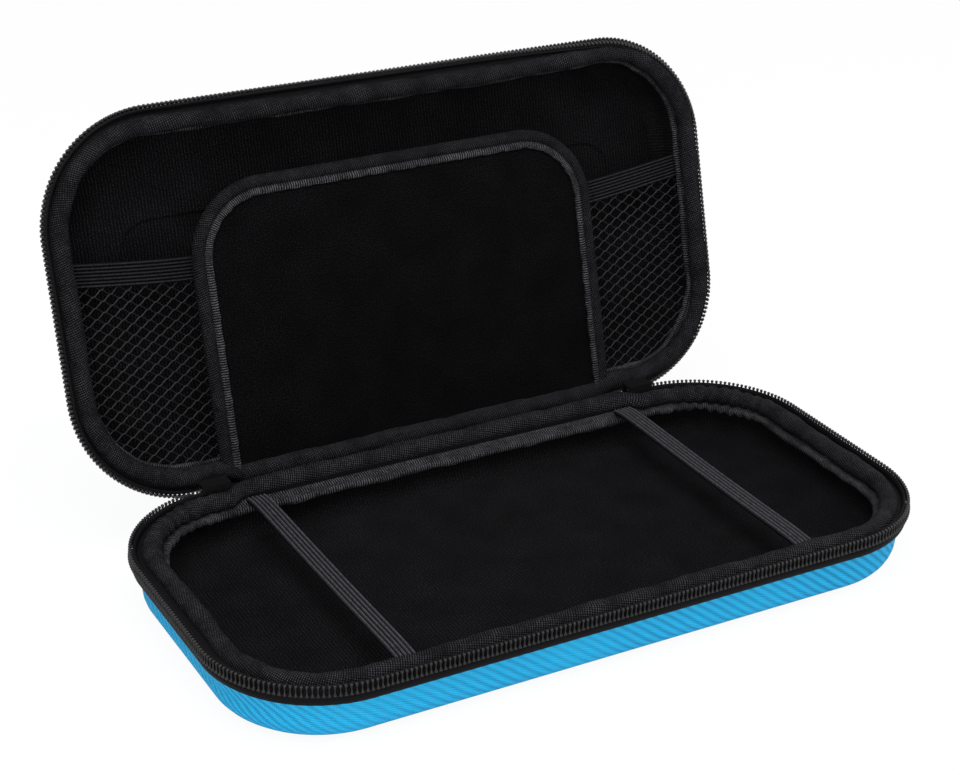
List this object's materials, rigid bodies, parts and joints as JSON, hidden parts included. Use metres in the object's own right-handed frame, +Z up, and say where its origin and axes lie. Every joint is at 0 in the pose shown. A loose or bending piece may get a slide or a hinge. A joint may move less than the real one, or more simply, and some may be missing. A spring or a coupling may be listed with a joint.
{
  "type": "portable game console case",
  "caption": "Zipped hard clamshell case for a handheld game console, standing open with elastic straps in its tray and a net pocket and padded flap in its lid.",
  "frame": {"origin": "centre of the base's underside, where the case stands on a table", "axes": "+X along the case's length, to the right when looking into it, +Y towards the hinge, +Z up"},
  "size_m": [0.262, 0.1959, 0.1499],
  "materials": {
    "blue_cloth": "matte",
    "black_knit": "matte",
    "black_webbing": "matte",
    "zip_coil": "satin",
    "zip_metal": "satin"
  },
  "bodies": {
    "base": {"base_shell": "blue_cloth", "base_lining": "black_knit", "base_zip_tape": "black_webbing", "base_zip_coil": "zip_coil", "base_rim_binding": "black_webbing", "strap_left": "black_webbing", "strap_right": "black_webbing", "hinge_strip": "black_webbing", "zip_slider_left": "zip_metal", "zip_slider_right": "zip_metal"},
    "lid": {"lid_shell": "blue_cloth", "lid_lining": "black_knit", "lid_zip_tape": "black_webbing", "lid_zip_coil": "zip_coil", "lid_rim_binding": "black_webbing", "mesh_pocket": "black_webbing", "pocket_elastic": "black_webbing", "flap_pad": "black_knit", "flap_binding": "black_webbing"},
    "pull_left": {"zip_pull_left": "zip_metal"},
    "pull_right": {"zip_pull_right": "zip_metal"}
  },
  "joints": [
    {"name": "lid_hinge", "type": "hinge", "parent": "base", "child": "lid", "pos_m": [0, 0.0677, 0.0189], "axis": [-1, 0, 0], "range_deg": [-104.5, 42], "deforming": ["hinge_strip"]},
    {"name": "pull_left_swing", "type": "hinge", "parent": "base", "child": "pull_left", "pos_m": [-0.0858, 0.0684, 0.016], "axis": [0, 1, 0], "range_deg": [-50, 80]},
    {"name": "pull_right_swing", "type": "hinge", "parent": "base", "child": "pull_right", "pos_m": [0.0858, 0.0684, 0.016], "axis": [0, -1, 0], "range_deg": [-50, 80]}
  ]
}
